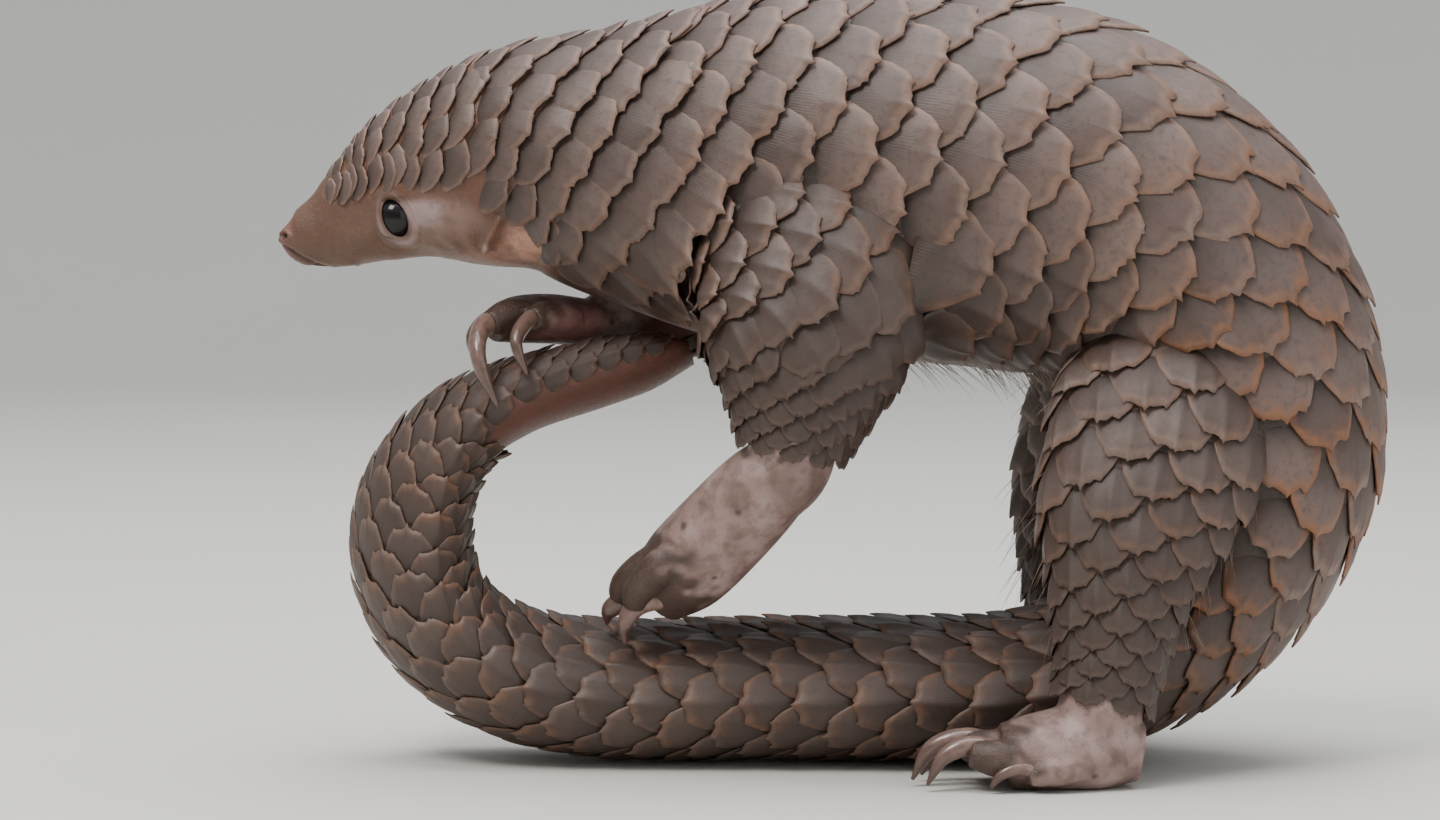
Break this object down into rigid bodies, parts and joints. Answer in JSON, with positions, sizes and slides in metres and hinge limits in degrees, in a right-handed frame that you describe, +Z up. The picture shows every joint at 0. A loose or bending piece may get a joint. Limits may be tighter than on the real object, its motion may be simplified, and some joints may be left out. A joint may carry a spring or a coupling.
{
  "type": "pangolin",
  "caption": "Still, life-size young white-bellied tree pangolin, back arched, tail laid under the belly and curled up in front, its tip held by a forefoot.",
  "frame": {"origin": "on the floor, under the middle of the whole animal's box", "axes": "+Z up, -X towards the head, -Y the animal's left side"},
  "size_m": [0.193, 0.083, 0.1357],
  "materials": {
    "scale": "satin",
    "skin": "matt",
    "claw": "polished",
    "eye": "wet gloss"
  },
  "bodies": {
    "root": {"head": "scale", "neck": "scale", "torso_front": "scale", "torso_middle": "scale", "rump": "scale", "tail_1": "scale", "tail_2": "scale", "tail_3": "scale", "tail_4": "scale", "tail_5": "scale", "tail_6": "scale", "ear_left": "skin", "ear_right": "skin", "eye_left": "eye", "eye_right": "eye", "foreleg_left": "scale", "foreleg_right": "scale", "hind_leg_left": "scale", "hind_leg_right": "scale", "forefoot_left": "skin", "forefoot_right": "skin", "hind_foot_left": "skin", "hind_foot_right": "skin", "forefoot_left_claw_1": "claw", "forefoot_left_claw_2": "claw", "forefoot_left_claw_3": "claw", "forefoot_right_claw_1": "claw", "forefoot_right_claw_2": "claw", "forefoot_right_claw_3": "claw", "hind_foot_left_claw_1": "claw", "hind_foot_left_claw_2": "claw", "hind_foot_left_claw_3": "claw", "hind_foot_right_claw_1": "claw", "hind_foot_right_claw_2": "claw", "hind_foot_right_claw_3": "claw"}
  },
  "joints": []
}
